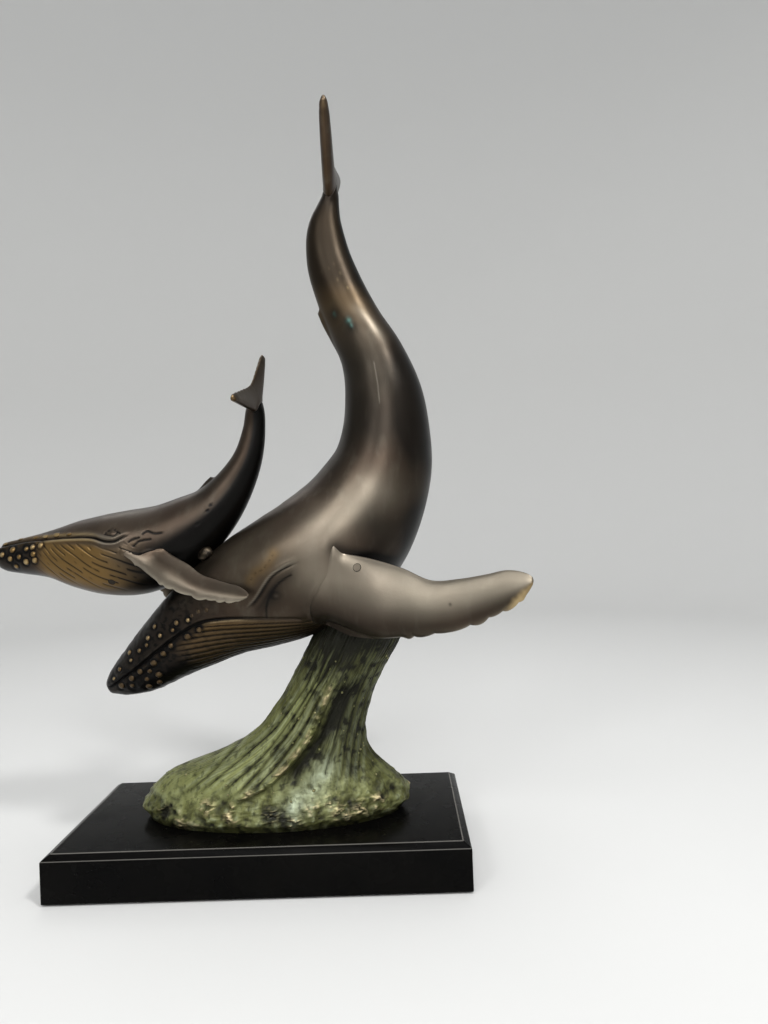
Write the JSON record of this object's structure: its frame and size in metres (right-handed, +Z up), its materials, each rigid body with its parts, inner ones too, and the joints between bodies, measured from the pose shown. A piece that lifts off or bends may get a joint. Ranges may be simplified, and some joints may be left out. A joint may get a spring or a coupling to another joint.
{
  "type": "whale and calf sculpture",
  "caption": "Cast bronze humpback whale diving with its calf on its back, on a green patinated wave bolted to a black chamfered plinth.",
  "frame": {"origin": "on the surface that the sculpture stands on, under the middle of the plinth", "axes": "+X from the whales' heads to the mother's flipper tip along the plinth's length, +Y away from the viewer of the picture, +Z up"},
  "size_m": [0.3817, 0.23, 0.5241],
  "materials": {
    "bronze_patina": "brown chemical patina, waxed to a satin sheen",
    "green_patina": "green verdigris patina, rubbed back on the ridges",
    "black_lacquer": "black semi-gloss lacquer",
    "felt": "felt",
    "steel": "zinc plated",
    "braze": "filed braze, patinated"
  },
  "bodies": {
    "root": {"mother_body": "bronze_patina", "mother_left_flipper": "bronze_patina", "mother_right_flipper": "bronze_patina", "mother_fluke": "bronze_patina", "calf_body": "bronze_patina", "calf_left_flipper": "bronze_patina", "calf_right_flipper": "bronze_patina", "calf_fluke": "bronze_patina", "wave_stand": "green_patina", "plinth": "black_lacquer", "felt_pad": "felt", "stand_bolts": "steel", "bolt_washers": "steel", "mother_studs": "steel", "calf_stud": "steel", "braze_beads": "braze", "flipper_plug": "braze", "throat_plug": "braze"}
  },
  "joints": []
}
